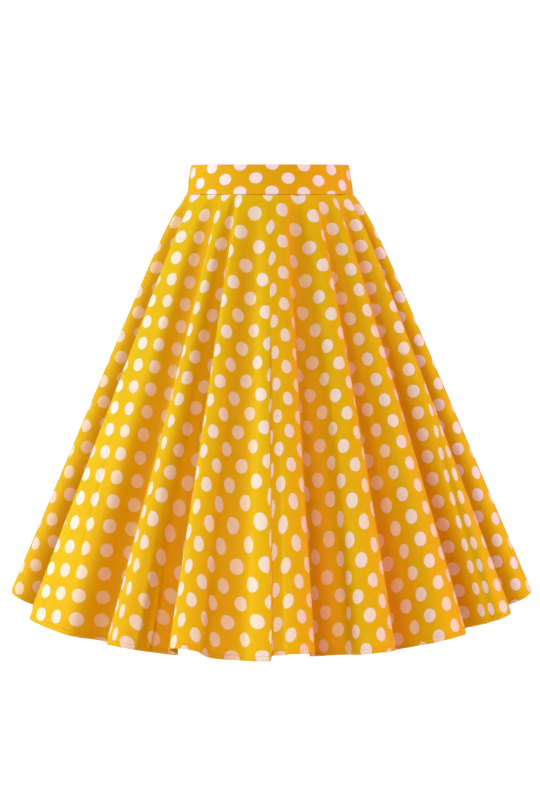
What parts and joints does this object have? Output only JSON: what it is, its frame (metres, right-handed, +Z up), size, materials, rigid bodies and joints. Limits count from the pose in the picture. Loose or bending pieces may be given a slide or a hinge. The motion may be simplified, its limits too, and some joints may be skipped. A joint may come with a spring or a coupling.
{
  "type": "circle skirt",
  "caption": "High-waisted flared circle skirt in worn form, with a contoured waistband, deep soft folds and a concealed back zip with a swinging pull tab.",
  "frame": {"origin": "centre of the waist opening, level with the waistband's top edge", "axes": "+Z up out of the waist, -Y to the front of the skirt, +X to the wearer's left"},
  "size_m": [0.8085, 0.7445, 0.6786],
  "materials": {
    "printed_cotton": "yellow cotton sateen printed with white dots, soft sheen",
    "band_cotton": "the same printed sateen over a firm interfacing",
    "zip_tape": "woven polyester tape, matt",
    "zip_metal": "zinc alloy lacquered yellow to match the cloth, satin"
  },
  "bodies": {
    "skirt": {"skirt_front": "printed_cotton", "skirt_back_left": "printed_cotton", "skirt_back_right": "printed_cotton", "waistband_front": "band_cotton", "waistband_back_left": "band_cotton", "waistband_back_right": "band_cotton", "zip_tape_left": "zip_tape", "zip_tape_right": "zip_tape", "zip_slider": "zip_metal"},
    "pull_tab": {"zip_pull": "zip_metal"}
  },
  "joints": [
    {"name": "pull_tab_swing", "type": "hinge", "parent": "skirt", "child": "pull_tab", "pos_m": [0, 0.09424, -0.00701], "axis": [1, 0, 0], "range_deg": [0, 165]}
  ]
}
